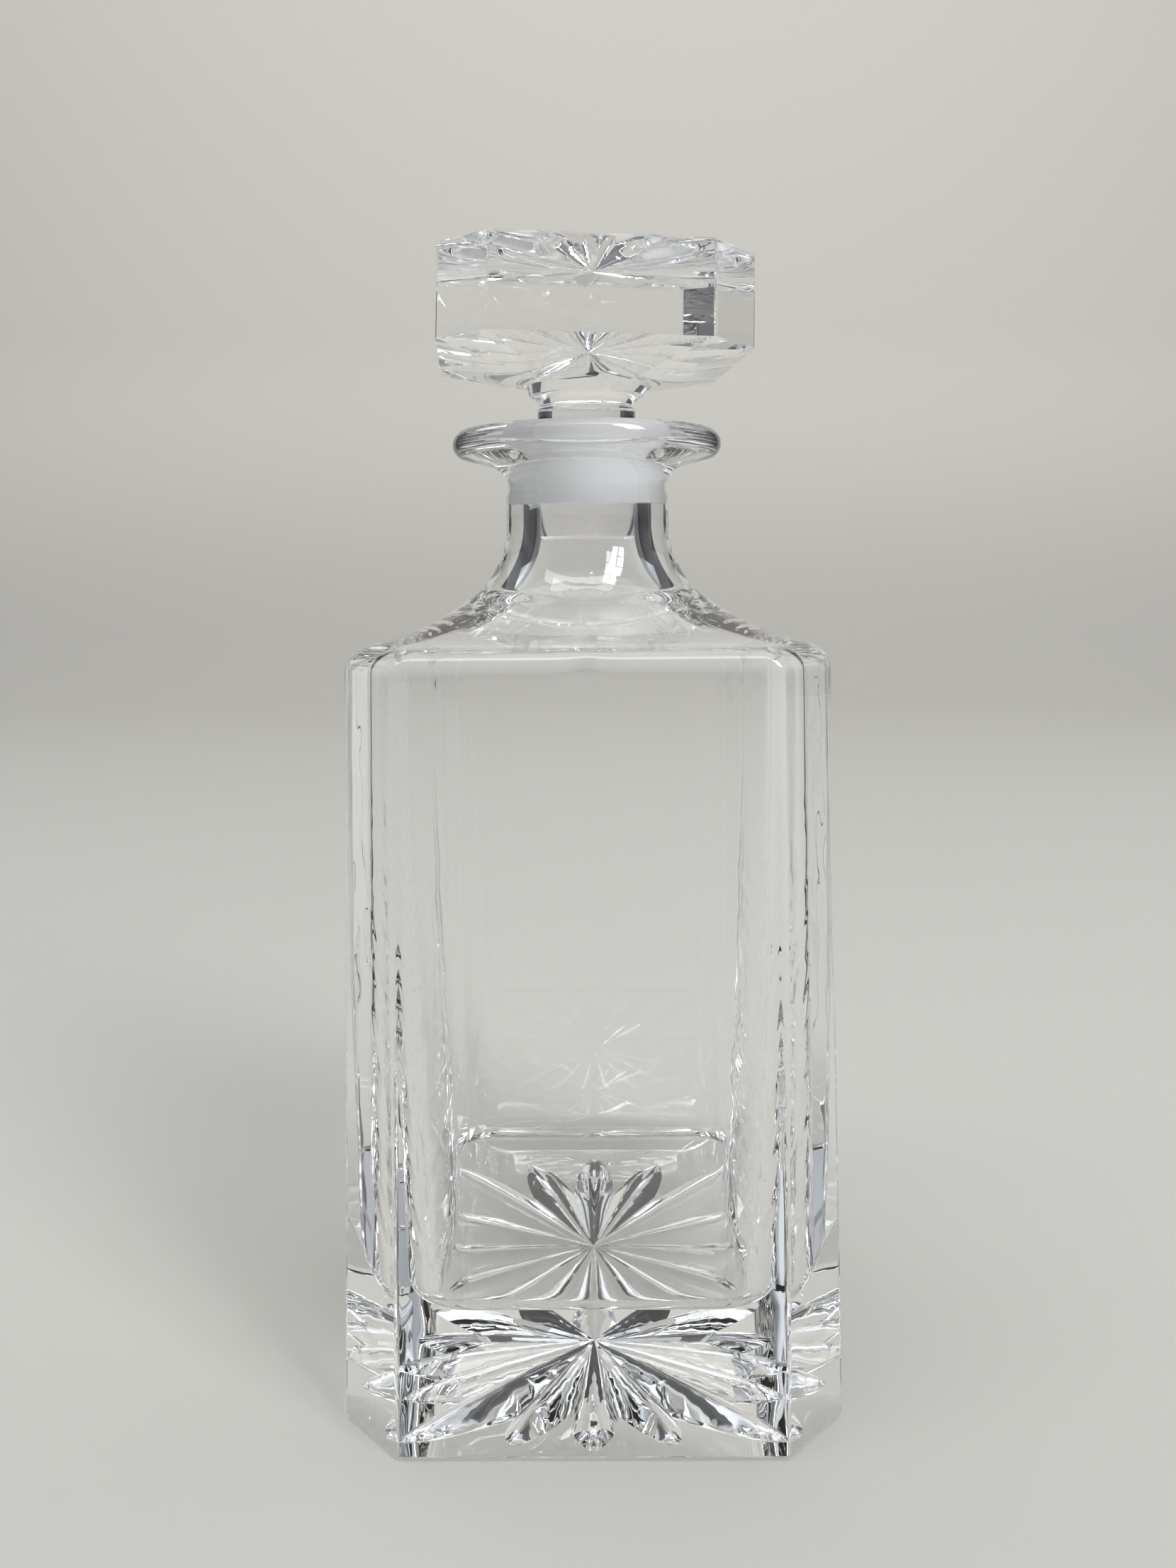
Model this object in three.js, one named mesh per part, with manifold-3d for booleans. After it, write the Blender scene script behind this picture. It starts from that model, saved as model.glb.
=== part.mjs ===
// Cut crystal decanter in two pieces of solid glass.
//   bottle   square body with chamfered corners, a star cut into the foot, a drawn-in
//            shoulder, a round neck and a wide flat lip; hollow, with a ground bore
//   stopper  square head with chamfered corners and a star cut into its top, a shallow
//            underside, a waisted collar and a ground plug that tapers into the bore
// Millimetres, +Z up. The origin is the centre of the foot, and -Y is the front.

import * as THREE from 'three';
import Module from 'manifold-3d';

const wasm = await Module();
wasm.setup();

// ---------------------------------------------------------------- driving dimensions

const FOOT_HALF = 47.5;
const FOOT_CHAMFER = 11.7;
const FOOT_BEVEL = 0.8;
const SHOULDER_HALF = 46.8;
const SHOULDER_CHAMFER = 10.6;
const SHOULDER_Z = 143.2;
const SHOULDER_ROUND = 4.2;
const SHOULDER_SLOPE = 12;
const SHOULDER_SWEEP = { share: 0.47, z: 149 };

const NECK_RADIUS = 17.8;
const FLARE_ARC = 20;
const FLARE_TOP_Z = 171.8;
const FLARE_SLOPE = 35;
const WAIST_RADIUS = 17.3;
const WAIST_Z = 179.4;

const LIP_RADIUS = 29.4;
const LIP_TOP_Z = 192.4;
const LIP_NOSE = 3.2;
const LIP_FILLET = 5.5;

const BORE_TOP_RADIUS = 12;
const BORE_RADIUS = 11.2;
const BORE_GROUND_Z = 175.8;
const MOUTH_ROUND = 1.3;

const FLOOR_Z = 22;
const FLOOR_FILLET = 4;
const CAVITY_FLOOR_HALF = 35.7;
const CAVITY_TOP_HALF = 38;
const CAVITY_TOP_Z = 143.4;
const CAVITY_FLOOR_CORNER = 13;
const CAVITY_TOP_CORNER = 9;
const INNER_SHOULDER_ROUND = 2;
const INNER_SHOULDER_SLOPE = 20;
const INNER_FLARE_SLOPE = 50;
const INNER_SWEEP = { share: 0.15, z: 151.3 };
const NECK_WALL = NECK_RADIUS - BORE_RADIUS;

const STAR_RAYS = 16;
const FOOT_STAR = { centreDepth: 5.4, endDepth: 2.4, halfWidth: 4.9, reach: 40.3, cornerReach: 51 };
const FOOT_STAR_Y = -2.9;
const HEAD_STAR = { centreDepth: 2.6, endDepth: 1.6, halfWidth: 3.4, reach: 34.5, cornerReach: 41 };

const HEAD_HALF = 32.5;
const HEAD_CHAMFER = 10;
const HEAD_BOTTOM_Z = 207.4;
const HEAD_TOP_Z = 227.1;
const HEAD_BEVEL = 0.6;
const HEAD_TURN = 5.8;
const HEAD_LEAN = 1.2;
const HEAD_TILT = 1.6;
const UNDERSIDE_RADIUS = 14.6;
const UNDERSIDE_Z = 202.3;
const COLLAR_RADIUS = 12.6;
const COLLAR_Z = 200;
const COLLAR_BEAD_RADIUS = 10.8;
const COLLAR_WAIST_RADIUS = 10.3;
const COLLAR_WAIST_Z = 197.4;
const PLUG_TOP_Z = 190.8;
const PLUG_BOTTOM_Z = 168;
const PLUG_CLEARANCE = 0.3;
const PLUG_BEVEL = 0.7;

// Points along one flat side and one chamfer of every ring.
const SIDE_STEPS = 12;
const CHAMFER_STEPS = 4;

const radians = THREE.MathUtils.degToRad;
const lerp = THREE.MathUtils.lerp;

// ---------------------------------------------------------------- outlines, seen from above

// Corners of a square with chamfered corners, counter-clockwise, starting at the front left.
function octagonCorners(half, chamfer) {
  const inner = half - chamfer;
  return [
    [-inner, -half], [inner, -half], [half, -inner], [half, inner],
    [inner, half], [-inner, half], [-half, inner], [-half, -inner],
  ];
}

// Points round that square, with the sides and the chamfers divided evenly.
function octagonRing(half, chamfer, z) {
  const corners = octagonCorners(half, chamfer);
  const ring = [];
  corners.forEach(([x, y], index) => {
    const [nextX, nextY] = corners[(index + 1) % corners.length];
    const steps = index % 2 === 0 ? SIDE_STEPS : CHAMFER_STEPS;
    for (let step = 0; step < steps; step += 1) {
      const t = step / steps;
      ring.push([lerp(x, nextX, t), lerp(y, nextY, t), z]);
    }
  });
  return ring;
}

// The bearings shared by every round ring, so that rings join point to point.
const BEARINGS = octagonRing(SHOULDER_HALF, SHOULDER_CHAMFER, 0).map(([x, y]) => Math.atan2(y, x));

function circleRing(radius, z) {
  return BEARINGS.map((angle) => [radius * Math.cos(angle), radius * Math.sin(angle), z]);
}

// Distance from the axis to the edge of a square with rounded corners.
function roundedSquareReach(angle, half, corner) {
  const across = Math.max(Math.abs(Math.cos(angle)), Math.abs(Math.sin(angle)));
  const along = Math.min(Math.abs(Math.cos(angle)), Math.abs(Math.sin(angle)));
  const flat = half - corner;
  if (half * along <= flat * across) return half / across;
  const centre = flat * (across + along);
  return centre + Math.sqrt(centre * centre - 2 * flat * flat + corner * corner);
}

function roundedSquareRing(half, corner, z) {
  return BEARINGS.map((angle) => {
    const reach = roundedSquareReach(angle, half, corner);
    return [reach * Math.cos(angle), reach * Math.sin(angle), z];
  });
}

function blendRings(from, to, t) {
  return from.map((point, index) => point.map((value, axis) => lerp(value, to[index][axis], t)));
}

// Rings after the first, along a curve that is drawn to a height part of the way across.
function sweptRings(from, to, { share, z }, steps) {
  const control = blendRings(from, to, share).map(([x, y]) => [x, y, z]);
  const rings = [];
  for (let step = 1; step <= steps; step += 1) {
    const t = step / steps;
    rings.push(blendRings(blendRings(from, control, t), blendRings(control, to, t), t));
  }
  return rings;
}

// Points [radius, z] on an arc, from one bearing to another in degrees, ends included.
function arc(centreRadius, centreZ, radius, fromDegrees, toDegrees, steps) {
  const points = [];
  for (let step = 0; step <= steps; step += 1) {
    const angle = radians(lerp(fromDegrees, toDegrees, step / steps));
    points.push([centreRadius + radius * Math.cos(angle), centreZ + radius * Math.sin(angle)]);
  }
  return points;
}

const circleRings = (profile) => profile.map(([radius, z]) => circleRing(radius, z));

// ---------------------------------------------------------------- solids

// A closed solid through a stack of rings, closed at each end by a fan about the axis.
function solidFromRings(rings) {
  const count = rings[0].length;
  const positions = rings.flat(2);
  const indices = [];
  rings.slice(1).forEach((_, level) => {
    for (let i = 0; i < count; i += 1) {
      const next = (i + 1) % count;
      const a = level * count + i;
      const b = level * count + next;
      indices.push(a, b, b + count, a, b + count, a + count);
    }
  });
  addEndFan(positions, indices, rings[0], 0, true);
  addEndFan(positions, indices, rings.at(-1), (rings.length - 1) * count, false);
  return new wasm.Manifold(new wasm.Mesh({
    numProp: 3,
    vertProperties: new Float32Array(positions),
    triVerts: new Uint32Array(indices),
  }));
}

function addEndFan(positions, indices, ring, offset, first) {
  const centre = positions.length / 3;
  const sums = ring.reduce((total, point) => total.map((value, axis) => value + point[axis]), [0, 0, 0]);
  positions.push(...sums.map((value) => value / ring.length));
  ring.forEach((_, i) => {
    const next = (i + 1) % ring.length;
    if (first) indices.push(centre, offset + next, offset + i);
    else indices.push(centre, offset + i, offset + next);
  });
}

function toMesh(name, solid, material) {
  const { vertProperties, triVerts } = solid.getMesh();
  const geometry = new THREE.BufferGeometry();
  geometry.setAttribute('position', new THREE.BufferAttribute(new Float32Array(vertProperties), 3));
  geometry.setIndex(new THREE.BufferAttribute(new Uint32Array(triVerts), 1));
  geometry.computeVertexNormals();
  const mesh = new THREE.Mesh(geometry, material);
  mesh.name = name;
  return mesh;
}

// ---------------------------------------------------------------- star cuts

// How a ray's width and depth fall away towards its pointed end.
const tipTaper = (fraction) => Math.max(0, 1 - fraction ** 6) ** 0.7;

// Corners of a ray's cross-section: both foot corners, below the cut face, and the valley tip.
function raySection({ centreDepth, endDepth, halfWidth }, reach, fraction) {
  const below = 1;
  const least = 0.02;
  const taper = tipTaper(fraction);
  const tip = Math.max(least, lerp(centreDepth, endDepth, fraction) * taper);
  const width = halfWidth * Math.max(least, taper) * ((tip + below) / tip);
  const x = fraction * reach;
  return [x, -width, -below, x, width, -below, x, 0, tip];
}

// One V-shaped ray along +X.
function raySolid(star, reach) {
  const fractions = [0, 0.3, 0.55, 0.72, 0.85, 0.94, 0.985, 1];
  const positions = fractions.flatMap((fraction) => raySection(star, reach, fraction));
  const indices = [0, 2, 1];
  for (let section = 0; section < fractions.length - 1; section += 1) {
    const a = section * 3;
    indices.push(a, a + 1, a + 4, a, a + 4, a + 3);
    indices.push(a + 1, a + 2, a + 5, a + 1, a + 5, a + 4);
    indices.push(a + 2, a, a + 3, a + 2, a + 3, a + 5);
  }
  const last = (fractions.length - 1) * 3;
  indices.push(last, last + 1, last + 2);
  return new wasm.Manifold(new wasm.Mesh({
    numProp: 3,
    vertProperties: new Float32Array(positions),
    triVerts: new Uint32Array(indices),
  }));
}

// The whole star: rays all round, with longer ones on the diagonals.
function starCutter(star) {
  let cutter = null;
  for (let ray = 0; ray < STAR_RAYS; ray += 1) {
    const reach = ray % 4 === 2 ? star.cornerReach : star.reach;
    const solid = raySolid(star, reach).rotate([0, 0, (360 * ray) / STAR_RAYS]);
    cutter = cutter ? cutter.add(solid) : solid;
  }
  return cutter;
}

// ---------------------------------------------------------------- bottle

// A round edge from upright to a sloping shoulder, as [inset, rise] pairs.
function shoulderRounding(radius, slope, steps) {
  const pairs = [];
  for (let step = 1; step <= steps; step += 1) {
    const angle = radians(((90 - slope) * step) / steps);
    pairs.push([radius * (1 - Math.cos(angle)), radius * Math.sin(angle)]);
  }
  return pairs;
}

function bodyRings() {
  const rounding = shoulderRounding(SHOULDER_ROUND, SHOULDER_SLOPE, 4);
  return [
    octagonRing(FOOT_HALF - FOOT_BEVEL, FOOT_CHAMFER, 0),
    octagonRing(FOOT_HALF, FOOT_CHAMFER, FOOT_BEVEL),
    octagonRing(SHOULDER_HALF, SHOULDER_CHAMFER, SHOULDER_Z),
    ...rounding.map(([inset, rise]) => (
      octagonRing(SHOULDER_HALF - inset, SHOULDER_CHAMFER, SHOULDER_Z + rise)
    )),
  ];
}

function neckProfile() {
  const centre = NECK_RADIUS + FLARE_ARC;
  const flare = arc(centre, FLARE_TOP_Z, FLARE_ARC, 270 - FLARE_SLOPE, 180, 6);
  const filletCentre = WAIST_RADIUS + LIP_FILLET;
  const fillet = arc(filletCentre, WAIST_Z, LIP_FILLET, 180, 95, 5);
  const noseCentre = LIP_RADIUS - LIP_NOSE;
  const nose = arc(noseCentre, LIP_TOP_Z - LIP_NOSE, LIP_NOSE, -65, 90, 6);
  return [...flare, [NECK_RADIUS, WAIST_Z - 2], ...fillet, ...nose];
}

// The shoulder sweeps up from the body into the neck.
function shoulderAndNeckRings(bodyTop) {
  const neck = circleRings(neckProfile());
  return [...sweptRings(bodyTop, neck[0], SHOULDER_SWEEP, 5), ...neck.slice(1)];
}

// The mouth, the ground bore, and a flare that keeps the neck's wall thickness.
function boreProfile() {
  const mouth = arc(BORE_TOP_RADIUS + MOUTH_ROUND, LIP_TOP_Z - MOUTH_ROUND, MOUTH_ROUND, 90, 180, 3);
  const centre = NECK_RADIUS + FLARE_ARC;
  const flare = arc(centre, FLARE_TOP_Z, FLARE_ARC + NECK_WALL, 180, 270 - INNER_FLARE_SLOPE, 5);
  return [...mouth, [BORE_RADIUS, BORE_GROUND_Z], ...flare];
}

// The hollow's walls draw in towards the floor while its corners grow rounder.
function cavityWallRing(t) {
  const half = lerp(CAVITY_TOP_HALF, CAVITY_FLOOR_HALF, t ** 2.2);
  const corner = lerp(CAVITY_TOP_CORNER, CAVITY_FLOOR_CORNER, t);
  return roundedSquareRing(half, corner, lerp(CAVITY_TOP_Z, FLOOR_Z + FLOOR_FILLET, t));
}

function cavityFloorRings() {
  return [30, 60, 90].map((degrees) => {
    const angle = radians(degrees);
    const inset = FLOOR_FILLET * (1 - Math.cos(angle));
    const z = FLOOR_Z + FLOOR_FILLET * (1 - Math.sin(angle));
    return roundedSquareRing(CAVITY_FLOOR_HALF - inset, CAVITY_FLOOR_CORNER - inset, z);
  });
}

function cavityRings(bore) {
  const rounding = shoulderRounding(INNER_SHOULDER_ROUND, INNER_SHOULDER_SLOPE, 3).reverse();
  const bend = rounding.map(([inset, rise]) => (
    roundedSquareRing(CAVITY_TOP_HALF - inset, CAVITY_TOP_CORNER, CAVITY_TOP_Z + rise)
  ));
  return [
    ...sweptRings(bore.at(-1), bend[0], INNER_SWEEP, 5),
    ...bend.slice(1),
    ...[0, 0.3, 0.5, 0.7, 0.85, 1].map(cavityWallRing),
    ...cavityFloorRings(),
  ];
}

function bottleSolid() {
  const body = bodyRings();
  const bore = circleRings(boreProfile());
  const rings = [...body, ...shoulderAndNeckRings(body.at(-1)), ...bore, ...cavityRings(bore)];
  return solidFromRings(rings).subtract(starCutter(FOOT_STAR).translate([0, FOOT_STAR_Y, 0]));
}

// ---------------------------------------------------------------- stopper

// The bore's radius beside the ground zone, which the plug follows with its clearance.
function boreRadiusAt(z) {
  const t = (z - BORE_GROUND_Z) / (LIP_TOP_Z - MOUTH_ROUND - BORE_GROUND_Z);
  return lerp(BORE_RADIUS, BORE_TOP_RADIUS, t);
}

// The collar above its bead, widening from the waist up to the head.
function collarTrumpet() {
  return [0, 0.35, 0.6, 0.8, 1].map((t) => (
    [lerp(COLLAR_WAIST_RADIUS, COLLAR_RADIUS, t ** 2.2), lerp(COLLAR_WAIST_Z, COLLAR_Z, t)]
  ));
}

function stopperProfile() {
  const plugRadius = (z) => boreRadiusAt(z) - PLUG_CLEARANCE;
  return [
    [plugRadius(PLUG_BOTTOM_Z) - PLUG_BEVEL, PLUG_BOTTOM_Z],
    [plugRadius(PLUG_BOTTOM_Z), PLUG_BOTTOM_Z + PLUG_BEVEL],
    [plugRadius(PLUG_TOP_Z), PLUG_TOP_Z],
    [COLLAR_BEAD_RADIUS, PLUG_TOP_Z + 2],
    [COLLAR_BEAD_RADIUS, COLLAR_WAIST_Z - 0.6],
    ...collarTrumpet(),
  ];
}

// The head sits turned in the neck and leans a little about the top of the collar.
const headPose = new THREE.Matrix4()
  .makeTranslation(0, 0, COLLAR_Z)
  .multiply(new THREE.Matrix4().makeRotationY(radians(HEAD_LEAN)))
  .multiply(new THREE.Matrix4().makeRotationX(radians(-HEAD_TILT)))
  .multiply(new THREE.Matrix4().makeRotationZ(radians(HEAD_TURN)))
  .multiply(new THREE.Matrix4().makeTranslation(0, 0, -COLLAR_Z));

const poseRing = (ring) => ring.map((point) => new THREE.Vector3(...point).applyMatrix4(headPose).toArray());

function headRings() {
  return [
    circleRing(lerp(COLLAR_RADIUS, UNDERSIDE_RADIUS, 0.4), lerp(COLLAR_Z, UNDERSIDE_Z, 0.7)),
    circleRing(UNDERSIDE_RADIUS, UNDERSIDE_Z),
    octagonRing(HEAD_HALF, HEAD_CHAMFER, HEAD_BOTTOM_Z),
    octagonRing(HEAD_HALF, HEAD_CHAMFER, HEAD_TOP_Z - HEAD_BEVEL),
    octagonRing(HEAD_HALF - HEAD_BEVEL, HEAD_CHAMFER, HEAD_TOP_Z),
  ].map(poseRing);
}

function stopperSolid() {
  const star = starCutter(HEAD_STAR).rotate([180, 0, 0]).translate([0, 0, HEAD_TOP_Z]);
  const body = solidFromRings([...circleRings(stopperProfile()), ...headRings()]);
  return body.subtract(star.transform(headPose.elements));
}

// ---------------------------------------------------------------- decanter

const bottleGlass = new THREE.MeshStandardMaterial({ color: 0xe9eef2, roughness: 0.04, metalness: 0 });
const stopperGlass = new THREE.MeshStandardMaterial({ color: 0xe6ecf1, roughness: 0.04, metalness: 0 });

const decanter = new THREE.Group();
decanter.add(toMesh('bottle', bottleSolid(), bottleGlass));
decanter.add(toMesh('stopper', stopperSolid(), stopperGlass));

export default decanter;
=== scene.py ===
"""A cut crystal decanter on a pale studio floor.

The bottle and the stopper are each one closed glass mesh, built from stacked rings and cut with a
star of V-shaped rays. Lengths are in millimetres until a mesh is made, and then in metres.
"""
import math

import bpy
from mathutils import Matrix, Vector, noise


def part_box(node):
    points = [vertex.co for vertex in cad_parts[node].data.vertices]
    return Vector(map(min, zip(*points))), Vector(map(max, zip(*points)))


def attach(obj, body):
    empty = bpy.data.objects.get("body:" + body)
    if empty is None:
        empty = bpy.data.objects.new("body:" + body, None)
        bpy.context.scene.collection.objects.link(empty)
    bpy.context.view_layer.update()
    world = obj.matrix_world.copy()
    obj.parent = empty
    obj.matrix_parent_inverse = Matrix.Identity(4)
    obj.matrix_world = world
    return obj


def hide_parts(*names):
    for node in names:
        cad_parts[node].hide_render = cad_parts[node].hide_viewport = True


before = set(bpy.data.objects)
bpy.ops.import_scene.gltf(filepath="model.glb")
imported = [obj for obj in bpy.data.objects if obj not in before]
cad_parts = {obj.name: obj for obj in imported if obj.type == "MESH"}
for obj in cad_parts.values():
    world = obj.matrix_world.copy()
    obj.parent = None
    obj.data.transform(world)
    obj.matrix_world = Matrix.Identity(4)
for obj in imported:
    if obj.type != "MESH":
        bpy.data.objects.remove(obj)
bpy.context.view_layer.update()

MM = 0.001


def node_box(node):
    """A CAD node's lowest and highest corners in millimetres."""
    low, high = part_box(node)
    return [value / MM for value in low], [value / MM for value in high]


BOTTLE_HIGH = node_box("bottle")[1]
STOPPER_LOW = node_box("stopper")[0]

# ------------------------------------------------------------------ bottle sizes

FOOT_HALF = BOTTLE_HIGH[0]
FOOT_CHAMFER = 11.7
FOOT_BEVEL = 0.8
SHOULDER_HALF = 46.8
SHOULDER_CHAMFER = 10.6
SHOULDER_Z = 143.2
SHOULDER_ROUND = 4.2
SHOULDER_SLOPE = 12.0
SHOULDER_SWEEP_SHARE = 0.47
SHOULDER_SWEEP_Z = 149.0
FOOT_EDGE_ROUND = 1.2
EDGE_ROUND = 4.0
SHOULDER_EDGE_ROUND = 10.0
BODY_STEPS = 90
SHOULDER_ROUND_STEPS = 10
SLOPE_STEPS = 20

# Waviness of the outside, on the flats and on the chamfers.
FLAT_WAVE = 0.01
CHAMFER_WAVE = 0.03
WAVE_ACROSS = 5.0
WAVE_UP = 9.0

# A point is on a chamfer where its smaller coordinate is more than this share of its larger one.
CHAMFER_SHARE = 0.72
CHAMFER_BLEND = 12

# The mould seam, a low ridge up the front and back of the shoulder and neck.
SEAM_HEIGHT = 0.22
SEAM_WIDTH = 1.1
SEAM_SHOULDER_HEIGHT = 0.8
SEAM_SHOULDER_WIDTH = 3.0
SEAM_END = 25          # the number of neck rings that carry the seam

NECK_RADIUS = 17.8
FLARE_ARC = 20.0
FLARE_TOP_Z = 171.8
FLARE_SLOPE = 35.0
WAIST_RADIUS = 17.3
WAIST_Z = 179.4

LIP_TOP_Z = BOTTLE_HIGH[2]
LIP_RADIUS = 29.4
LIP_NOSE = 3.2
LIP_FILLET = 5.5

BORE_TOP_RADIUS = 12.0
BORE_RADIUS = 11.2
BORE_GROUND_Z = 175.8
MOUTH_ROUND = 1.3

FLOOR_Z = 22.0
FLOOR_FILLET = 4.0
CAVITY_FLOOR_HALF = 35.7
CAVITY_TOP_HALF = 38.0
CAVITY_TOP_CORNER = 9.0
CAVITY_FLOOR_CORNER = 13.0
NECK_WALL = NECK_RADIUS - BORE_RADIUS
CAVITY_TOP_Z = 143.4
INNER_SHOULDER_ROUND = 2.0
INNER_SHOULDER_SLOPE = 20.0
INNER_FLARE_SLOPE = 50.0
INNER_SWEEP_SHARE = 0.15
INNER_SWEEP_Z = 151.3
INNER_SLOPE_STEPS = 22
INNER_ROUND_STEPS = 10
WALL_STEPS = 190
FLOOR_FILLET_STEPS = 8
DRAWN_IN_POWER = 2.2

# Ripples that the plunger leaves in the corners of the hollow.
RIPPLE_HEIGHT = 0.11
RIPPLE_ACROSS = 1.5
RIPPLE_ALONG = 9.0
RIPPLE_LEAN = 66.0
RIPPLE_TOP_Z = 126.0
RIPPLE_FULL_Z = 95.0
RIPPLE_FOOT_Z = 27.0
RIPPLE_FOOT_FADE = 6
RIPPLE_BROAD = 1.5

# ------------------------------------------------------------------ star cuts

STAR_RAYS = 16
WALL_CURVE = 1.3
WHEEL_RIPPLE = 0.035
WHEEL_PITCH = 2.2
RAY_SECTIONS = 60
RAY_HALF_POINTS = 9
RAY_BELOW = 1.0
RAY_THINNEST = 0.02
FOOT_STAR = {"centre_depth": 5.4, "end_depth": 2.4, "half_width": 4.9,
             "reach": 40.3, "corner_reach": 51.0}
FOOT_STAR_Y = -2.9
HEAD_STAR = {"centre_depth": 2.6, "end_depth": 1.6, "half_width": 3.4,
             "reach": 34.5, "corner_reach": 41.0}
SHARP_DEGREES = 18

# ------------------------------------------------------------------ stopper sizes

HEAD_TOP_Z = 227.1
HEAD_HALF = 32.5
HEAD_CHAMFER = 10.0
HEAD_BOTTOM_Z = 207.4
HEAD_EDGE = 0.6
HEAD_EDGE_ROUND = 1.2
HEAD_TURN = 5.8
HEAD_LEAN = 1.2
HEAD_TILT = 1.6
UNDERSIDE_RADIUS = 14.6
UNDERSIDE_Z = 202.3
COLLAR_RADIUS = 12.6
COLLAR_Z = 200.0
COLLAR_BEAD_RADIUS = 10.8
COLLAR_WAIST_RADIUS = 10.3
COLLAR_WAIST_Z = 197.4
PLUG_TOP_Z = 190.8
PLUG_BOTTOM_Z = STOPPER_LOW[2]
PLUG_CLEARANCE = 0.3
PLUG_BEVEL = 0.7
BEAD_ROUND = 0.5
TRUMPET_STEPS = 14
UNDERSIDE_STEPS = 10
BAND_STEPS = 8

# ------------------------------------------------------------------ camera and studio

CAMERA_DISTANCE = 273.6
CAMERA_HEIGHT = 164.2
CAMERA_SIDE = 0.03
CAMERA_TURN = 0.57
CAMERA_ROLL = 0.52
LENS = 28.51
SHIFT_Y = -0.1435

GLASS_IOR = 1.54

# Share of the light that ground glass scatters, in the bore and on the plug.
BORE_WHITE = 0.95
PLUG_WHITE = 0.6
GROUND_ROUGHNESS = 0.55
GROUND_RADIUS = 13.0
GROUND_SOFT = 0.25
GROUND_FADE = 9

# Share of lamp light that passes each glass surface.
LAMP_SHARE = 0.6

# The room's brightness: where the camera sees it beyond the paper, and then two ramps and a set of
# soft patches, each as the start and end of the ramp and its low and high value.
ROOM_PALE = 0.62
ROOM_AWAY = (-0.7, 0.3, 0.22, 1.0)
ROOM_ABOVE = (-0.3, 0.6, 0.4, 0.85)
ROOM_PATCHES = (0.4, 0.6, 0.65, 1.35)
ROOM_PATCH_SCALE = 2.2
ROOM_COLOR = (0.88, 0.94, 1, 1)

# The window at the right, in metres and watts, with its panes in two columns and three rows.
WINDOW_PLACE = (1.15, -1.15, 1.75)
WINDOW_AIM = (0, 0, 0.1)
PANE_SIZE = (0.28, 0.42)
PANE_ACROSS = 0.32
PANE_UP = 0.46
PANE_POWER = 5.2
PANE_COLOR = (0.95, 0.97, 1)

# The paper's colours at its foot and at its top, and the heights in metres between which it changes:
# painted light, with the paper painted paler upwards to make up for the lamps lighting its foot more than
# its top.
PAPER_FOOT = (0.495, 0.478, 0.442, 1)
PAPER_TOP = (0.765, 0.735, 0.675, 1)
PAPER_HEIGHTS = (0.02, 0.5)

# Points along each flat and chamfer of a ring, and on each small rounded corner.
FLAT_STEPS = 48
CHAMFER_STEPS = 36
CORNER_STEPS = 8

# How much closer together the points are at the middle and ends of a flat.
FLAT_CROWDING = 0.7


def lerp(a, b, t):
    return a + (b - a) * t


# ------------------------------------------------------------------ outlines seen from above

def octagon_corners(half, chamfer):
    """Corners of a chamfered square, counter-clockwise from the front left."""
    inner = half - chamfer
    return [(-inner, -half), (inner, -half), (half, -inner), (half, inner),
            (inner, half), (-inner, half), (-half, inner), (-half, -inner)]


def edge_fractions(index):
    """Where the points of one side lie along it: closer together at the middle and ends of a flat."""
    if index % 2 == 1:
        return [step / CHAMFER_STEPS for step in range(1, CHAMFER_STEPS)]
    turn = 4 * math.pi
    return [step / FLAT_STEPS - FLAT_CROWDING * math.sin(turn * step / FLAT_STEPS) / turn
            for step in range(1, FLAT_STEPS)]


def octagon_ring(half, chamfer, z, rounding=EDGE_ROUND):
    """A chamfered square whose corners are rounded by small arcs."""
    corners = [Vector(corner) for corner in octagon_corners(half, chamfer)]
    setback = rounding * math.tan(math.radians(22.5))
    ring = []
    for index, corner in enumerate(corners):
        before, after = corners[index - 1], corners[(index + 1) % 8]
        into = (corner - before).normalized()
        out = (after - corner).normalized()
        start = corner - into * setback
        centre = start + Vector((-into.y, into.x)) * rounding
        for step in range(CORNER_STEPS + 1):
            turn = Matrix.Rotation(math.radians(45 * step / CORNER_STEPS), 2)
            spoke = turn @ (start - centre)
            ring.append((centre + spoke).to_3d() + Vector((0, 0, z)))
        first = corner + out * setback
        last = after - out * setback
        for fraction in edge_fractions(index):
            point = first.lerp(last, fraction)
            ring.append(Vector((point.x, point.y, z)))
    return ring


BEARINGS = [math.atan2(point.y, point.x) for point in octagon_ring(SHOULDER_HALF, SHOULDER_CHAMFER, 0)]


def circle_ring(radius, z):
    return [Vector((radius * math.cos(a), radius * math.sin(a), z)) for a in BEARINGS]


def rounded_square_reach(angle, half, corner):
    """Distance from the axis to the edge of a square with rounded corners."""
    across = max(abs(math.cos(angle)), abs(math.sin(angle)))
    along = min(abs(math.cos(angle)), abs(math.sin(angle)))
    flat = half - corner
    if half * along <= flat * across:
        return half / across
    centre = flat * (across + along)
    return centre + math.sqrt(centre * centre - 2 * flat * flat + corner * corner)


def rounded_square_ring(half, corner, z):
    reaches = [rounded_square_reach(a, half, corner) for a in BEARINGS]
    return [Vector((reach * math.cos(a), reach * math.sin(a), z)) for a, reach in zip(BEARINGS, reaches)]


def blend_rings(lower, upper, t):
    return [a.lerp(b, t) for a, b in zip(lower, upper)]


def rings_between(lower, upper, steps):
    """Evenly spaced rings after the first, up to the last."""
    return [blend_rings(lower, upper, step / steps) for step in range(1, steps + 1)]


def swept_rings(lower, upper, share, control_z, steps):
    """Rings after the first along a curve that is pulled towards a height part of the way across."""
    control = [a.lerp(b, share) for a, b in zip(lower, upper)]
    for point in control:
        point.z = control_z
    rings = []
    for step in range(1, steps + 1):
        t = step / steps
        rings.append(blend_rings(blend_rings(lower, control, t), blend_rings(control, upper, t), t))
    return rings


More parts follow.
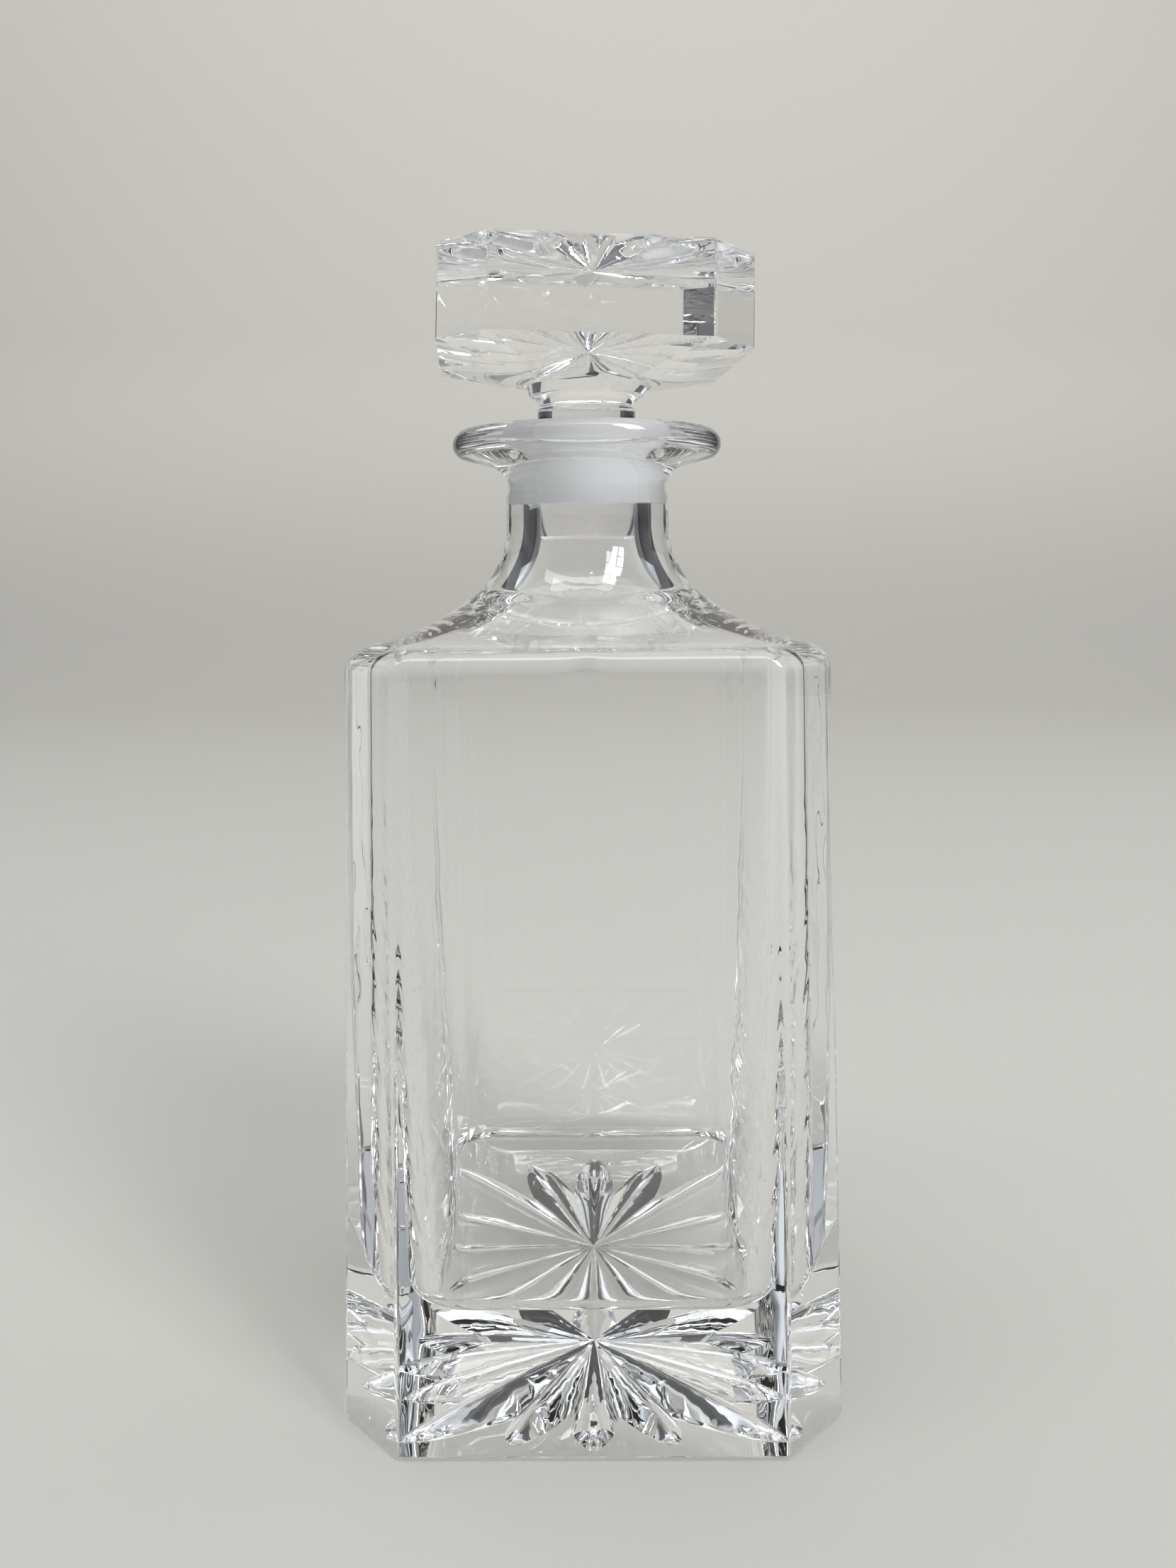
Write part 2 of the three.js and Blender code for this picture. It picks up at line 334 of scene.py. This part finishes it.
def with_seam(ring, height, width):
    """A ring with a low smooth ridge at the middle of its front and back."""
    raised = []
    for point in ring:
        bump = height * math.exp(-(point.x / width) ** 2)
        raised.append(point + Vector((0, math.copysign(bump, point.y), 0)))
    return raised


def arc(centre_radius, centre_z, radius, start, end, steps):
    """Points (radius, z) on an arc between two bearings in degrees."""
    angles = [math.radians(lerp(start, end, step / steps)) for step in range(steps + 1)]
    return [(centre_radius + radius * math.cos(a), centre_z + radius * math.sin(a)) for a in angles]


def circle_rings(profile):
    return [circle_ring(radius, z) for radius, z in profile]


# ------------------------------------------------------------------ meshes

def mesh_from_rings(name, rings):
    """A closed mesh through stacked rings, with a fan at each end."""
    count = len(rings[0])
    points = [point for ring in rings for point in ring]
    faces = []
    for level in range(len(rings) - 1):
        base = level * count
        for i in range(count):
            j = (i + 1) % count
            faces.append((base + i, base + j, base + count + j, base + count + i))
    for ring, offset, flip in ((rings[0], 0, True), (rings[-1], (len(rings) - 1) * count, False)):
        centre = len(points)
        points.append(sum(ring, Vector((0, 0, 0))) / count)
        for i in range(count):
            j = (i + 1) % count
            fan = (centre, offset + i, offset + j)
            faces.append(tuple(reversed(fan)) if flip else fan)
    return new_object(name, points, faces)


def new_object(name, points, faces):
    mesh = bpy.data.meshes.new(name)
    mesh.from_pydata([point * MM for point in points], [], faces)
    mesh.validate()
    mesh.update()
    piece = bpy.data.objects.new(name, mesh)
    bpy.context.scene.collection.objects.link(piece)
    return piece


def apply_boolean(piece, other, operation):
    """Join or cut a mesh with another, and drop the other."""
    modifier = piece.modifiers.new("cut", "BOOLEAN")
    modifier.operation = operation
    modifier.solver = "MANIFOLD"
    modifier.object = other
    depsgraph = bpy.context.evaluated_depsgraph_get()
    result = bpy.data.meshes.new_from_object(piece.evaluated_get(depsgraph))
    piece.modifiers.clear()
    piece.data = result
    bpy.data.objects.remove(other)


def tip_taper(fraction):
    """How a ray's width and depth fall away towards its pointed end."""
    return max(0.0, 1 - fraction ** 6) ** 0.7


def ray_cutter(name, centre_depth, end_depth, half_width, reach, turn):
    """One ray of the star, pointing up: two slightly hollow walls that meet in a crisp valley."""
    along, across, below = RAY_SECTIONS, RAY_HALF_POINTS, RAY_BELOW
    points = []
    for section in range(along + 1):
        fraction = 1 - (1 - section / along) ** 1.5
        taper = tip_taper(fraction)
        tip = lerp(centre_depth, end_depth, fraction) * taper
        width = half_width * max(taper, RAY_THINNEST)
        wall = (max(tip, RAY_THINNEST) + below) / max(tip, RAY_THINNEST)
        outer = width * wall ** (1 / WALL_CURVE)
        for side in range(-across, across + 1):
            offset = side / across
            z = tip - (tip + below) * abs(offset) ** WALL_CURVE
            wave = Vector((fraction * reach / WHEEL_PITCH, offset, turn))
            z += WHEEL_RIPPLE * noise.noise(wave) * min(1.0, 4 * taper)
            points.append(Vector((fraction * reach, offset * outer, z)))
    count = 2 * across + 1
    faces = []
    for section in range(along):
        a = section * count
        faces += [(a + count + i, a + count + i + 1, a + i + 1, a + i) for i in range(count - 1)]
        faces.append((a + 2 * count - 1, a + count, a, a + count - 1))
    faces.append(tuple(range(count)))
    faces.append(tuple(reversed(range(along * count, (along + 1) * count))))
    spin = Matrix.Rotation(math.radians(turn), 3, "Z")
    return new_object(name, [spin @ point for point in points], faces)


def star_cutter(centre_depth, end_depth, half_width, reach, corner_reach):
    """Rays all round, with longer ones on the diagonals."""
    star = None
    for ray in range(STAR_RAYS):
        length = corner_reach if ray % 4 == 2 else reach
        turn = 360 * ray / STAR_RAYS
        cutter = ray_cutter(f"ray_{ray}", centre_depth, end_depth, half_width, length, turn)
        if star is None:
            star = cutter
        else:
            apply_boolean(star, cutter, "UNION")
    return star


def finish_glass(piece):
    """Smooth shading, with creases kept crisp."""
    mesh = piece.data
    mesh.shade_smooth()
    mesh.set_sharp_from_angle(angle=math.radians(SHARP_DEGREES))
    mesh.update()


# ------------------------------------------------------------------ bottle

def fire_polished(ring):
    """The outside with the faint waviness of pressed glass, stronger on the chamfers."""
    moved = []
    for point in ring:
        x, y = abs(point.x), abs(point.y)
        on_chamfer = min(1.0, max(0.0, (min(x, y) / max(x, y) - CHAMFER_SHARE) * CHAMFER_BLEND))
        height = lerp(FLAT_WAVE, CHAMFER_WAVE, on_chamfer)
        wave = noise.noise(Vector((point.x / WAVE_ACROSS, point.y / WAVE_ACROSS, point.z / WAVE_UP)))
        moved.append(point - Vector((point.x, point.y, 0)).normalized() * height * (0.5 + wave))
    return moved


def body_rings():
    """The outside of the body, from the foot to the start of the flare."""
    foot = octagon_ring(FOOT_HALF, FOOT_CHAMFER, FOOT_BEVEL, FOOT_EDGE_ROUND)
    shoulder = octagon_ring(SHOULDER_HALF, SHOULDER_CHAMFER, SHOULDER_Z)
    rings = [octagon_ring(FOOT_HALF - FOOT_BEVEL, FOOT_CHAMFER, 0, FOOT_EDGE_ROUND), foot]
    rings += [fire_polished(ring) for ring in rings_between(foot, shoulder, BODY_STEPS)[:-1]]
    rings.append(shoulder)
    steps = SHOULDER_ROUND_STEPS
    for step in range(1, steps + 1):
        angle = math.radians((90 - SHOULDER_SLOPE) * step / steps)
        inset = SHOULDER_ROUND * (1 - math.cos(angle))
        z = SHOULDER_Z + SHOULDER_ROUND * math.sin(angle)
        rounding = lerp(EDGE_ROUND, SHOULDER_EDGE_ROUND, (step / steps) ** 2)
        ring = octagon_ring(SHOULDER_HALF - inset, SHOULDER_CHAMFER, z, rounding)
        rings.append(with_seam(ring, SEAM_SHOULDER_HEIGHT * step / steps, SEAM_SHOULDER_WIDTH))
    return rings


def neck_rings():
    """The outside of the shoulder and neck, with the seam fading out below the lip."""
    top_of_body = body_rings()[-1]
    circles = circle_rings(neck_profile())
    seamed = [with_seam(ring, SEAM_HEIGHT, SEAM_WIDTH) for ring in circles[:SEAM_END]]
    slope = swept_rings(top_of_body, seamed[0], SHOULDER_SWEEP_SHARE, SHOULDER_SWEEP_Z, SLOPE_STEPS)
    return slope + seamed[1:] + circles[SEAM_END:]


def neck_profile():
    centre = NECK_RADIUS + FLARE_ARC
    flare = arc(centre, FLARE_TOP_Z, FLARE_ARC, 270 - FLARE_SLOPE, 180, 24)
    fillet = arc(WAIST_RADIUS + LIP_FILLET, WAIST_Z, LIP_FILLET, 180, 95, 16)
    nose = arc(LIP_RADIUS - LIP_NOSE, LIP_TOP_Z - LIP_NOSE, LIP_NOSE, -65, 90, 22)
    return flare + [(NECK_RADIUS, WAIST_Z - 2)] + fillet + nose


def bore_profile():
    mouth = arc(BORE_TOP_RADIUS + MOUTH_ROUND, LIP_TOP_Z - MOUTH_ROUND, MOUTH_ROUND, 90, 180, 8)
    end = 270 - INNER_FLARE_SLOPE
    flare = arc(NECK_RADIUS + FLARE_ARC, FLARE_TOP_Z, FLARE_ARC + NECK_WALL, 180, end, 20)
    return mouth + [(BORE_RADIUS, BORE_GROUND_Z)] + flare


def cavity_wall(t):
    """Half width and corner radius of the hollow, at a fraction of the way down its walls."""
    half = lerp(CAVITY_TOP_HALF, CAVITY_FLOOR_HALF, t ** DRAWN_IN_POWER)
    return half, lerp(CAVITY_TOP_CORNER, CAVITY_FLOOR_CORNER, t)


def ripple(point, corner_centre):
    """How far the rippled wall stands off at a point of a corner, along slanting strokes."""
    rise = min(1.0, max(0.0, (RIPPLE_TOP_Z - point.z) / (RIPPLE_TOP_Z - RIPPLE_FULL_Z)))
    foot = min(1.0, max(0.0, (point.z - RIPPLE_FOOT_Z) / RIPPLE_FOOT_FADE))
    x, y = abs(point.x) - corner_centre, abs(point.y) - corner_centre
    if x <= 0 or y <= 0:
        return 0.0
    spread = math.degrees(math.atan2(y, x)) - 45
    window = max(0.0, 1 - (spread / 45) ** 4)
    along_ring = abs(math.radians(spread)) * math.hypot(x, y)
    lean = math.radians(RIPPLE_LEAN)
    across = along_ring * math.sin(lean) - point.z * math.cos(lean)
    along = along_ring * math.cos(lean) + point.z * math.sin(lean)
    seed = 10 * math.copysign(1, point.x) + 20 * math.copysign(1, point.y) + 40 * (spread > 0)
    fine = noise.noise(Vector((across / RIPPLE_ACROSS, along / RIPPLE_ALONG, seed)))
    wide, long = 3 * RIPPLE_ACROSS, 2 * RIPPLE_ALONG
    broad = noise.noise(Vector((across / wide, along / long, seed + 5)))
    return RIPPLE_HEIGHT * rise * foot * window * (fine + RIPPLE_BROAD * broad)


def rippled(ring, half, corner):
    """A ring of the hollow with its corners rippled."""
    moved = []
    for point in ring:
        outward = Vector((point.x, point.y, 0)).normalized()
        moved.append(point + outward * ripple(point, half - corner))
    return moved


def cavity_rings(flare_end):
    """The hollow from the inner shoulder to its floor."""
    turn = math.radians(90 - INNER_SHOULDER_SLOPE)
    bend_half = CAVITY_TOP_HALF - INNER_SHOULDER_ROUND * (1 - math.cos(turn))
    bend_z = CAVITY_TOP_Z + INNER_SHOULDER_ROUND * math.sin(turn)
    bend = rounded_square_ring(bend_half, CAVITY_TOP_CORNER, bend_z)
    rings = swept_rings(circle_ring(*flare_end), bend, INNER_SWEEP_SHARE, INNER_SWEEP_Z,
                        INNER_SLOPE_STEPS)
    steps = INNER_ROUND_STEPS
    for step in range(1, steps + 1):
        angle = lerp(turn, 0, step / steps)
        half = CAVITY_TOP_HALF - INNER_SHOULDER_ROUND * (1 - math.cos(angle))
        z = CAVITY_TOP_Z + INNER_SHOULDER_ROUND * math.sin(angle)
        rings.append(rounded_square_ring(half, CAVITY_TOP_CORNER, z))
    wall_foot_z = FLOOR_Z + FLOOR_FILLET
    steps = WALL_STEPS
    for step in range(1, steps + 1):
        half, corner = cavity_wall(step / steps)
        ring = rounded_square_ring(half, corner, lerp(CAVITY_TOP_Z, wall_foot_z, step / steps))
        rings.append(rippled(ring, half, corner))
    steps = FLOOR_FILLET_STEPS
    for step in range(1, steps + 1):
        angle = math.radians(90 * step / steps)
        inset = FLOOR_FILLET * (1 - math.cos(angle))
        z = FLOOR_Z + FLOOR_FILLET * (1 - math.sin(angle))
        rings.append(rounded_square_ring(CAVITY_FLOOR_HALF - inset, CAVITY_FLOOR_CORNER - inset, z))
    return rings


def make_bottle():
    bore = bore_profile()
    rings = body_rings() + neck_rings() + circle_rings(bore) + cavity_rings(bore[-1])
    bottle = mesh_from_rings("bottle_glass", rings)
    star = star_cutter(**FOOT_STAR)
    star.data.transform(Matrix.Translation((0, FOOT_STAR_Y * MM, 0)))
    apply_boolean(bottle, star, "DIFFERENCE")
    finish_glass(bottle)
    return bottle


# ------------------------------------------------------------------ stopper

def bore_radius_at(z):
    """The ground bore's radius, which the plug follows with its clearance."""
    share = (z - BORE_GROUND_Z) / (LIP_TOP_Z - MOUTH_ROUND - BORE_GROUND_Z)
    return lerp(BORE_RADIUS, BORE_TOP_RADIUS, share)


def plug_profile():
    bottom = bore_radius_at(PLUG_BOTTOM_Z) - PLUG_CLEARANCE
    top = bore_radius_at(PLUG_TOP_Z) - PLUG_CLEARANCE
    return [(bottom - PLUG_BEVEL, PLUG_BOTTOM_Z), (bottom, PLUG_BOTTOM_Z + PLUG_BEVEL), (top, PLUG_TOP_Z)]


def collar_profile():
    """A small bead above the plug, a tight waist, and a trumpet up to the head."""
    bead_top = COLLAR_WAIST_Z - 0.6
    bead = arc(COLLAR_BEAD_RADIUS - BEAD_ROUND, bead_top, BEAD_ROUND, 0, 80, 5)
    trumpet = []
    for step in range(TRUMPET_STEPS + 1):
        t = step / TRUMPET_STEPS
        radius = lerp(COLLAR_WAIST_RADIUS, COLLAR_RADIUS, t ** 2.2)
        trumpet.append((radius, lerp(COLLAR_WAIST_Z, COLLAR_Z, t)))
    return [(COLLAR_BEAD_RADIUS, PLUG_TOP_Z + 2.0)] + bead + trumpet


def head_pose():
    """The head sits turned in the neck, and leans a little about the top of the collar."""
    pivot = Matrix.Translation((0, 0, COLLAR_Z))
    lean = Matrix.Rotation(math.radians(HEAD_LEAN), 4, "Y")
    tilt = Matrix.Rotation(math.radians(-HEAD_TILT), 4, "X")
    turn = Matrix.Rotation(math.radians(HEAD_TURN), 4, "Z")
    return pivot @ (lean @ tilt) @ turn @ pivot.inverted()


def make_stopper():
    collar = circle_rings(plug_profile() + collar_profile())
    under = circle_ring(UNDERSIDE_RADIUS, UNDERSIDE_Z)
    band_foot = octagon_ring(HEAD_HALF, HEAD_CHAMFER, HEAD_BOTTOM_Z, HEAD_EDGE_ROUND)
    band_top = octagon_ring(HEAD_HALF, HEAD_CHAMFER, HEAD_TOP_Z - HEAD_EDGE, HEAD_EDGE_ROUND)
    bend = circle_ring(lerp(COLLAR_RADIUS, UNDERSIDE_RADIUS, 0.4), lerp(COLLAR_Z, UNDERSIDE_Z, 0.7))
    head = [bend, under]
    head += rings_between(under, band_foot, UNDERSIDE_STEPS)
    head += rings_between(band_foot, band_top, BAND_STEPS)
    head.append(octagon_ring(HEAD_HALF - HEAD_EDGE, HEAD_CHAMFER, HEAD_TOP_Z, HEAD_EDGE_ROUND))
    pose = head_pose()
    posed_head = [[pose @ point for point in ring] for ring in head]
    stopper = mesh_from_rings("stopper_glass", collar + posed_head)
    star = star_cutter(**HEAD_STAR)
    flip = Matrix.Translation((0, 0, HEAD_TOP_Z)) @ Matrix.Rotation(math.pi, 4, "X")
    to_metres = Matrix.Scale(MM, 4)
    star.data.transform(to_metres @ pose @ flip @ to_metres.inverted())
    apply_boolean(stopper, star, "DIFFERENCE")
    finish_glass(stopper)
    return stopper


# ------------------------------------------------------------------ materials

class Nodes:
    """Short calls for building a material's node tree."""

    def __init__(self, tree):
        self.tree = tree

    def add(self, kind, **settings):
        node = self.tree.nodes.new(kind)
        for key, value in settings.items():
            setattr(node, key, value)
        return node

    def link(self, source, target):
        if isinstance(source, (int, float)):
            target.default_value = source
        else:
            self.tree.links.new(source, target)

    def math(self, operation, a, b=0.0):
        node = self.add("ShaderNodeMath", operation=operation)
        self.link(a, node.inputs[0])
        self.link(b, node.inputs[1])
        return node.outputs[0]

    def ramp(self, value, start, end, low=0.0, high=1.0):
        """A smooth step of value, from low at start to high at end."""
        node = self.add("ShaderNodeMapRange", interpolation_type="SMOOTHSTEP")
        for socket, number in zip(node.inputs[:5], (value, start, end, low, high)):
            self.link(number, socket)
        return node.outputs[0]

    def noise(self, vector, scale, detail):
        node = self.add("ShaderNodeTexNoise")
        self.link(vector, node.inputs["Vector"])
        node.inputs["Scale"].default_value = scale
        node.inputs["Detail"].default_value = detail
        return node.outputs["Fac"]


def ground_mask(nodes, position, low_z, high_z):
    """One on the ground surface inside the neck, and nought elsewhere."""
    parts = nodes.add("ShaderNodeSeparateXYZ")
    nodes.link(position, parts.inputs[0])
    x, y, z = parts.outputs
    squares = nodes.math("ADD", nodes.math("MULTIPLY", x, x), nodes.math("MULTIPLY", y, y))
    reach = nodes.math("SQRT", squares)
    soft = GROUND_SOFT * MM
    above = nodes.ramp(z, low_z * MM - soft, low_z * MM + soft)
    below = nodes.ramp(z, high_z * MM - soft, high_z * MM + soft, 1.0, 0.0)
    inside = nodes.ramp(reach, GROUND_RADIUS * MM - soft, GROUND_RADIUS * MM + soft, 1.0, 0.0)
    return nodes.math("MULTIPLY", nodes.math("MULTIPLY", above, below), inside)


def grinding_rings(nodes, position):
    """Fine uneven rings from the grinding, fading towards the lower end of the ground zone."""
    stretch = nodes.add("ShaderNodeMapping")
    nodes.link(position, stretch.inputs["Vector"])
    stretch.inputs["Scale"].default_value = (40, 40, 1400)
    rings = nodes.ramp(nodes.noise(stretch.outputs["Vector"], 1.0, 3), 0.3, 0.7, 0.86, 1.0)
    parts = nodes.add("ShaderNodeSeparateXYZ")
    nodes.link(position, parts.inputs[0])
    fade_top = (BORE_GROUND_Z + GROUND_FADE) * MM
    fade = nodes.ramp(parts.outputs["Z"], BORE_GROUND_Z * MM, fade_top, 0.8, 1.0)
    return nodes.math("MULTIPLY", rings, fade)


def glass_material(name, ground_low, ground_high, white):
    """Clear polished crystal, finely ground where the stopper seats."""
    material = bpy.data.materials.new(name)
    material.use_nodes = True
    nodes = Nodes(material.node_tree)
    shader = material.node_tree.nodes["Principled BSDF"]
    shader.inputs["Base Color"].default_value = (1, 1, 1, 1)
    shader.inputs["Transmission Weight"].default_value = 1.0
    shader.inputs["IOR"].default_value = GLASS_IOR
    shader.inputs["Specular IOR Level"].default_value = 0.5
    position = nodes.add("ShaderNodeTexCoord").outputs["Object"]
    mask = ground_mask(nodes, position, ground_low, ground_high)
    nodes.link(nodes.math("MULTIPLY", mask, GROUND_ROUGHNESS), shader.inputs["Roughness"])
    whiteness = nodes.math("MULTIPLY", mask, white)
    scattered = nodes.math("MULTIPLY", whiteness, grinding_rings(nodes, position))
    nodes.link(nodes.math("SUBTRACT", 1.0, scattered), shader.inputs["Transmission Weight"])
    let_lamps_through(nodes, shader)
    return material


def let_lamps_through(nodes, shader):
    """Lamp light passes the glass, dimmed at each surface, and lights what is inside and under it."""
    clear = nodes.add("ShaderNodeBsdfTransparent")
    clear.inputs["Color"].default_value = (LAMP_SHARE, LAMP_SHARE, LAMP_SHARE, 1)
    mix = nodes.add("ShaderNodeMixShader")
    nodes.link(nodes.add("ShaderNodeLightPath").outputs["Is Shadow Ray"], mix.inputs["Fac"])
    nodes.link(shader.outputs["BSDF"], mix.inputs[1])
    nodes.link(clear.outputs["BSDF"], mix.inputs[2])
    nodes.link(mix.outputs["Shader"], nodes.tree.nodes["Material Output"].inputs["Surface"])


def set_material(piece, material):
    piece.data.materials.clear()
    piece.data.materials.append(material)
    for polygon in piece.data.polygons:
        polygon.material_index = 0


def plain_material(name, color, roughness):
    material = bpy.data.materials.new(name)
    material.use_nodes = True
    shader = material.node_tree.nodes["Principled BSDF"]
    shader.inputs["Base Color"].default_value = (*color, 1)
    shader.inputs["Roughness"].default_value = roughness
    return material


def paper_material():
    """Floor and backdrop paper, painted paler higher up so that it looks even under the lamps: a painted
    brightening that stands in for light.
    """
    material = plain_material("paper", (0.6, 0.58, 0.54), 0.9)
    nodes = Nodes(material.node_tree)
    parts = nodes.add("ShaderNodeSeparateXYZ")
    nodes.link(nodes.add("ShaderNodeTexCoord").outputs["Object"], parts.inputs[0])
    # Painted light: the colour ramps from dimmer at the foot to paler at the top, to even out the lamps.
    mix = nodes.add("ShaderNodeMix", data_type="RGBA")
    nodes.link(nodes.ramp(parts.outputs["Z"], *PAPER_HEIGHTS), mix.inputs["Factor"])
    mix.inputs["A"].default_value = PAPER_FOOT
    mix.inputs["B"].default_value = PAPER_TOP
    nodes.link(mix.outputs["Result"], nodes.tree.nodes["Principled BSDF"].inputs["Base Color"])
    return material


# ------------------------------------------------------------------ studio

def make_camera():
    data = bpy.data.cameras.new("camera")
    data.lens = LENS
    data.shift_y = SHIFT_Y
    data.clip_start = 0.01
    camera = bpy.data.objects.new("camera", data)
    bpy.context.scene.collection.objects.link(camera)
    turn = Matrix.Rotation(math.radians(CAMERA_TURN), 4, "Z")
    place = Matrix.Translation(Vector((CAMERA_SIDE, -CAMERA_DISTANCE, CAMERA_HEIGHT)) * MM)
    level = Matrix.Rotation(math.radians(90), 4, "X")
    roll = Matrix.Rotation(math.radians(-CAMERA_ROLL), 4, "Z")
    camera.matrix_world = turn @ place @ level @ roll
    bpy.context.scene.camera = camera


def make_floor():
    """A floor that sweeps up into a backdrop."""
    width, front, back, bend, height = 1.3, -2.0, 1.6, 0.5, 3.0
    profile = [(front, 0.0), (back - bend, 0.0)]
    for step in range(1, 25):
        angle = math.radians(90 * step / 24)
        profile.append((back - bend + bend * math.sin(angle), bend - bend * math.cos(angle)))
    profile.append((back, height))
    points = [Vector((x, y, z)) / MM for y, z in profile for x in (-width, width)]
    faces = [(i * 2, i * 2 + 1, i * 2 + 3, i * 2 + 2) for i in range(len(profile) - 1)]
    floor = new_object("floor", points, faces)
    floor.location.z = -0.3 * MM
    floor.data.shade_smooth()
    floor.data.materials.append(paper_material())


def dark_card(name, corners, material):
    """A card that shows only in and through the glass."""
    card = new_object(name, [Vector(corner) / MM for corner in corners], [(0, 1, 2, 3)])
    card.data.materials.append(material)
    card.visible_shadow = False
    card.visible_diffuse = False
    card.visible_camera = False


def make_flags():
    """Dark cards outside the view, which draw dark lines along the edges of the glass."""
    dark = plain_material("dark_card", (0.02, 0.02, 0.022), 0.8)
    grey = plain_material("grey_card", (0.05, 0.05, 0.053), 0.8)
    for side, foot in ((-1, 0.14), (1, 0.1)):
        near = [(side * 0.37, y, z) for y, z in ((0.05, foot), (0.38, foot), (0.38, 0.31), (0.05, 0.31))]
        far = [(side * x, 1.0, z) for x, z in ((0.64, 0.0), (1.3, 0.0), (1.3, 1.3), (0.64, 1.3))]
        dark_card(f"near_card_{side + 1}", near, dark)
        dark_card(f"far_card_{side + 1}", far, grey)


def area_light(name, place, aim, size, power, color=(1, 1, 1)):
    data = bpy.data.lights.new(name, "AREA")
    data.shape = "RECTANGLE"
    data.size, data.size_y = size
    data.energy = power
    data.color = color
    light = bpy.data.objects.new(name, data)
    bpy.context.scene.collection.objects.link(light)
    light.location = place
    light.rotation_euler = (Vector(aim) - Vector(place)).to_track_quat("-Z", "Y").to_euler()


def make_lights():
    """A window of six panes at the right, and wide soft lights on the floor and the backdrop."""
    aim = Vector(WINDOW_AIM)
    place = Vector(WINDOW_PLACE)
    across = (aim - place).cross(Vector((0, 0, 1))).normalized()
    up = across.cross(aim - place).normalized()
    for column in (-0.5, 0.5):
        for row in (-1, 0, 1):
            pane = place + across * column * PANE_ACROSS + up * row * PANE_UP
            area_light("window_pane", pane, pane + aim - place, PANE_SIZE, PANE_POWER, PANE_COLOR)
    area_light("overhead", (-0.2, 0.3, 2.6), (-0.2, 0.3, 0), (3.0, 3.0), 10)
    area_light("backdrop_fill", (-0.3, -0.5, 2.3), (-0.2, 1.6, 0.9), (2.4, 0.8), 23)


def make_world():
    """A room of light and dark areas, darker on the camera's side, and pale where seen directly."""
    world = bpy.data.worlds.new("studio")
    world.use_nodes = True
    nodes = Nodes(world.node_tree)
    parts = nodes.add("ShaderNodeSeparateXYZ")
    direction = nodes.add("ShaderNodeTexCoord").outputs["Generated"]
    nodes.link(direction, parts.inputs[0])
    background = world.node_tree.nodes["Background"]
    background.inputs["Color"].default_value = ROOM_COLOR
    patches = nodes.ramp(nodes.noise(direction, ROOM_PATCH_SCALE, 1), *ROOM_PATCHES)
    away = nodes.ramp(parts.outputs["Y"], *ROOM_AWAY)
    above = nodes.ramp(parts.outputs["Z"], *ROOM_ABOVE)
    strength = nodes.math("MULTIPLY", nodes.math("MULTIPLY", away, above), patches)
    seen = nodes.add("ShaderNodeLightPath").outputs["Is Camera Ray"]
    nodes.link(nodes.ramp(seen, 0.0, 1.0, strength, ROOM_PALE), background.inputs["Strength"])
    bpy.context.scene.world = world


def render_settings():
    scene = bpy.context.scene
    scene.view_settings.view_transform = "Standard"
    scene.cycles.max_bounces = 32
    scene.cycles.transmission_bounces = 32
    scene.cycles.glossy_bounces = 12


# ------------------------------------------------------------------ scene

make_camera()
make_floor()
make_flags()
make_lights()
make_world()
render_settings()

bottle = make_bottle()
set_material(bottle, glass_material("bottle_crystal", BORE_GROUND_Z, LIP_TOP_Z - 0.6, BORE_WHITE))
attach(bottle, "bottle")
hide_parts("bottle")

stopper = make_stopper()
set_material(stopper, glass_material("stopper_crystal", BORE_GROUND_Z, PLUG_TOP_Z + 1.0, PLUG_WHITE))
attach(stopper, "stopper")
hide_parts("stopper")
